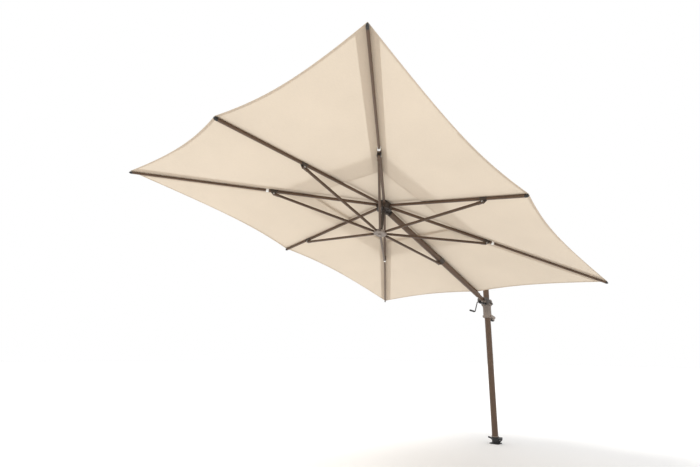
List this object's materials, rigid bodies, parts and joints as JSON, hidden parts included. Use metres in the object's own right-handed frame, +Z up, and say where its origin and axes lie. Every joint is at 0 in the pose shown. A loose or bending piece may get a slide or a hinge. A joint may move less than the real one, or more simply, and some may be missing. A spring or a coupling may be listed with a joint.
{
  "type": "cantilever parasol",
  "caption": "Side-mast parasol: a sliding knuckle on a tall post carries a rising arm and a rectangular beige canopy on ribs, struts and a runner, with crank, lever and foot pedal.",
  "frame": {"origin": "middle of the base flange's underside, on the mast's axis", "axes": "+Z up along the mast, +X out along the arm towards the canopy's front edge, +Y the canopy's right-hand side"},
  "size_m": [4.2943, 3.0632, 2.767],
  "materials": {
    "black_plastic": "moulded, matte",
    "bright_steel": "zinc plated",
    "brown_paint": "dark brown powder coat, matte",
    "canopy_cloth": "beige woven polyester, matte",
    "dark_casting": "painted casting, satin",
    "rubber": "matte",
    "runner_grey": "grey-brown casting, satin",
    "slider_paint": "grey-brown powder coat, matte",
    "white_nylon": "nylon, satin"
  },
  "bodies": {
    "base": {"base_flange": "black_plastic", "swivel_bush": "white_nylon", "pedal_pin": "bright_steel"},
    "pedal": {"foot_pedal": "black_plastic"},
    "mast": {"mast_foot": "slider_paint", "mast_tube": "brown_paint", "mast_cap": "black_plastic"},
    "slider": {"slider_housing": "slider_paint", "slider_liner": "white_nylon"},
    "lever": {"slider_lever": "slider_paint", "lever_pad": "rubber"},
    "arm": {"arm_fork": "dark_casting", "arm_inner_tube": "brown_paint"},
    "crank": {"winch_drum": "black_plastic", "crank_rod": "dark_casting"},
    "crank_handle": {"crank_handle": "black_plastic"},
    "canopy_arm": {"arm_outer_tube": "brown_paint", "roll_bush": "white_nylon", "arm_head": "dark_casting", "arm_strut_saddle": "dark_casting"},
    "hub": {"hub": "dark_casting", "hub_cap": "black_plastic", "canopy": "canopy_cloth", "vent_cap": "canopy_cloth"},
    "strut_arm": {"strut_arm": "brown_paint"},
    "runner": {"runner": "runner_grey", "runner_spacer": "dark_casting"},
    "rib_front": {"rib_front": "brown_paint", "rib_front_bracket": "dark_casting", "rib_front_tip": "black_plastic"},
    "strut_front": {"strut_front": "brown_paint"},
    "rib_right": {"rib_right": "brown_paint", "rib_right_bracket": "dark_casting", "rib_right_tip": "black_plastic"},
    "strut_right": {"strut_right": "brown_paint"},
    "rib_left": {"rib_left": "brown_paint", "rib_left_bracket": "dark_casting", "rib_left_tip": "black_plastic"},
    "strut_left": {"strut_left": "brown_paint"},
    "rib_front_right": {"rib_front_right": "brown_paint", "rib_front_right_bracket": "dark_casting"},
    "strut_front_right": {"strut_front_right": "brown_paint"},
    "rib_front_right_outer": {"rib_front_right_outer": "brown_paint", "rib_front_right_tip": "black_plastic"},
    "rib_front_left": {"rib_front_left": "brown_paint", "rib_front_left_bracket": "dark_casting"},
    "strut_front_left": {"strut_front_left": "brown_paint"},
    "rib_front_left_outer": {"rib_front_left_outer": "brown_paint", "rib_front_left_tip": "black_plastic"},
    "rib_rear_right": {"rib_rear_right": "brown_paint", "rib_rear_right_bracket": "dark_casting"},
    "strut_rear_right": {"strut_rear_right": "brown_paint"},
    "rib_rear_right_outer": {"rib_rear_right_outer": "brown_paint", "rib_rear_right_tip": "black_plastic"},
    "rib_rear_left": {"rib_rear_left": "brown_paint", "rib_rear_left_bracket": "dark_casting"},
    "strut_rear_left": {"strut_rear_left": "brown_paint"},
    "rib_rear_left_outer": {"rib_rear_left_outer": "brown_paint", "rib_rear_left_tip": "black_plastic"}
  },
  "joints": [
    {"name": "pedal_press", "type": "hinge", "parent": "base", "child": "pedal", "pos_m": [-0.01597, 0.06404, 0.05], "axis": [0.9703, 0.2419, 0], "range_deg": [0, 7], "stiffness_Nm_per_rad": 6, "springref_deg": -20.05},
    {"name": "mast_swivel", "type": "hinge", "parent": "base", "child": "mast", "pos_m": [0, 0, 0], "axis": [0, 0, 1], "continuous": true},
    {"name": "slider_height", "type": "slide", "parent": "mast", "child": "slider", "axis": [0, 0, 1], "range_m": [-1.1, 0.55]},
    {"name": "lever_squeeze", "type": "hinge", "parent": "slider", "child": "lever", "pos_m": [0, 0, 1.54], "axis": [0, 1, 0], "range_deg": [0, 12], "stiffness_Nm_per_rad": 4, "springref_deg": -22.92},
    {"name": "arm_tilt", "type": "hinge", "parent": "slider", "child": "arm", "pos_m": [0, 0, 1.712], "axis": [0, 1, 0], "range_deg": [-12, 30]},
    {"name": "crank_turn", "type": "hinge", "parent": "arm", "child": "crank", "pos_m": [0.09789, 0, 1.70214], "axis": [-0.1098, -0.9511, 0.2889], "continuous": true},
    {"name": "handle_spin", "type": "hinge", "parent": "crank", "child": "crank_handle", "pos_m": [0.09342, -0.03874, 1.57289], "axis": [-0.1098, -0.9511, 0.2889], "continuous": true},
    {"name": "canopy_roll", "type": "hinge", "parent": "arm", "child": "canopy_arm", "pos_m": [0, 0, 1.712], "axis": [0.9348, 0, 0.3553], "range_deg": [-25, 25]},
    {"name": "canopy_fold", "type": "hinge", "parent": "hub", "child": "rib_front", "pos_m": [2.18023, 0, 2.52324], "axis": [0, 1, 0], "range_deg": [0, 75], "deforming": ["canopy", "vent_cap"]},
    {"name": "hub_hinge", "type": "hinge", "parent": "canopy_arm", "child": "hub", "pos_m": [2.07677, 0, 2.4825], "axis": [0, 1, 0], "range_deg": [0, 72.32]},
    {"name": "strut_arm_pin", "type": "hinge", "parent": "canopy_arm", "child": "strut_arm", "pos_m": [1.10191, 0, 2.07771], "axis": [0, -1, 0], "range_deg": [-148.88, 0]},
    {"name": "strut_front_pin", "type": "hinge", "parent": "rib_front", "child": "strut_front", "pos_m": [3.22995, 0, 2.62937], "axis": [0, 1, 0], "range_deg": [-150.05, 0]},
    {"name": "rib_right_pin", "type": "hinge", "parent": "hub", "child": "rib_right", "pos_m": [2.1262, 0.05484, 2.50804], "axis": [-0.9732, 0, -0.2299], "range_deg": [0, 65.42]},
    {"name": "strut_right_pin", "type": "hinge", "parent": "rib_right", "child": "strut_right", "pos_m": [2.16922, 1.1263, 2.32595], "axis": [-0.9732, 0, -0.2299], "range_deg": [-135.94, 0]},
    {"name": "rib_left_pin", "type": "hinge", "parent": "hub", "child": "rib_left", "pos_m": [2.1262, -0.05484, 2.50804], "axis": [0.9732, 0, 0.2299], "range_deg": [0, 65.42]},
    {"name": "strut_left_pin", "type": "hinge", "parent": "rib_left", "child": "strut_left", "pos_m": [2.16922, -1.1263, 2.32595], "axis": [0.9732, 0, 0.2299], "range_deg": [-135.94, 0]},
    {"name": "rib_front_right_pin", "type": "hinge", "parent": "hub", "child": "rib_front_right", "pos_m": [2.16918, 0.03436, 2.52163], "axis": [-0.5911, 0.7944, -0.1396], "range_deg": [0, 68.75]},
    {"name": "strut_front_right_pin", "type": "hinge", "parent": "rib_front_right", "child": "strut_front_right", "pos_m": [3.027, 0.68597, 2.59774], "axis": [-0.5911, 0.7944, -0.1396], "range_deg": [-135.88, 0]},
    {"name": "rib_front_right_telescope", "type": "slide", "parent": "rib_front_right", "child": "rib_front_right_outer", "axis": [0.7943, 0.6034, 0.0705], "range_m": [-0.4005, 0]},
    {"name": "rib_front_left_pin", "type": "hinge", "parent": "hub", "child": "rib_front_left", "pos_m": [2.16918, -0.03436, 2.52163], "axis": [0.5911, 0.7944, 0.1396], "range_deg": [0, 68.75]},
    {"name": "strut_front_left_pin", "type": "hinge", "parent": "rib_front_left", "child": "strut_front_left", "pos_m": [3.027, -0.68597, 2.59774], "axis": [0.5911, 0.7944, 0.1396], "range_deg": [-135.88, 0]},
    {"name": "rib_front_left_telescope", "type": "slide", "parent": "rib_front_left", "child": "rib_front_left_outer", "axis": [0.7943, -0.6034, 0.0705], "range_m": [-0.4005, 0]},
    {"name": "rib_rear_right_pin", "type": "hinge", "parent": "hub", "child": "rib_rear_right", "pos_m": [2.08169, 0.03436, 2.50096], "axis": [-0.5911, -0.7944, -0.1396], "range_deg": [0, 68.75]},
    {"name": "strut_rear_right_pin", "type": "hinge", "parent": "rib_rear_right", "child": "strut_rear_right", "pos_m": [1.28051, 0.68597, 2.18512], "axis": [-0.5911, -0.7944, -0.1396], "range_deg": [-135.88, 0]},
    {"name": "rib_rear_right_telescope", "type": "slide", "parent": "rib_rear_right", "child": "rib_rear_right_outer", "axis": [-0.7419, 0.6034, -0.2925], "range_m": [-0.4005, 0]},
    {"name": "rib_rear_left_pin", "type": "hinge", "parent": "hub", "child": "rib_rear_left", "pos_m": [2.08169, -0.03436, 2.50096], "axis": [0.5911, -0.7944, 0.1396], "range_deg": [0, 68.75]},
    {"name": "strut_rear_left_pin", "type": "hinge", "parent": "rib_rear_left", "child": "strut_rear_left", "pos_m": [1.28051, -0.68597, 2.18512], "axis": [0.5911, -0.7944, 0.1396], "range_deg": [-135.88, 0]},
    {"name": "rib_rear_left_telescope", "type": "slide", "parent": "rib_rear_left", "child": "rib_rear_left_outer", "axis": [-0.7419, -0.6034, -0.2925], "range_m": [-0.4005, 0]},
    {"name": "runner_pin", "type": "hinge", "parent": "strut_front", "child": "runner", "pos_m": [2.24372, 0, 2.25449], "axis": [0, 1, 0], "range_deg": [0, 75.05]}
  ],
  "couplings": [
    {"joint": "hub_hinge", "follows": "canopy_fold", "ratio": 0.96355},
    {"joint": "strut_arm_pin", "follows": "canopy_fold", "ratio": -1.9845},
    {"joint": "strut_front_pin", "follows": "canopy_fold", "ratio": -2},
    {"joint": "rib_right_pin", "follows": "canopy_fold", "ratio": 0.87162},
    {"joint": "strut_right_pin", "follows": "canopy_fold", "ratio": -1.8119},
    {"joint": "rib_left_pin", "follows": "canopy_fold", "ratio": 0.87162},
    {"joint": "strut_left_pin", "follows": "canopy_fold", "ratio": -1.8119},
    {"joint": "rib_front_right_pin", "follows": "canopy_fold", "ratio": 0.91605},
    {"joint": "strut_front_right_pin", "follows": "canopy_fold", "ratio": -1.811},
    {"joint": "rib_front_right_telescope", "follows": "canopy_fold", "m_per_rad": -0.30558},
    {"joint": "rib_front_left_pin", "follows": "canopy_fold", "ratio": 0.91605},
    {"joint": "strut_front_left_pin", "follows": "canopy_fold", "ratio": -1.811},
    {"joint": "rib_front_left_telescope", "follows": "canopy_fold", "m_per_rad": -0.30558},
    {"joint": "rib_rear_right_pin", "follows": "canopy_fold", "ratio": 0.91605},
    {"joint": "strut_rear_right_pin", "follows": "canopy_fold", "ratio": -1.811},
    {"joint": "rib_rear_right_telescope", "follows": "canopy_fold", "m_per_rad": -0.30558},
    {"joint": "rib_rear_left_pin", "follows": "canopy_fold", "ratio": 0.91605},
    {"joint": "strut_rear_left_pin", "follows": "canopy_fold", "ratio": -1.811},
    {"joint": "rib_rear_left_telescope", "follows": "canopy_fold", "m_per_rad": -0.30558},
    {"joint": "runner_pin", "follows": "canopy_fold", "ratio": 1}
  ]
}
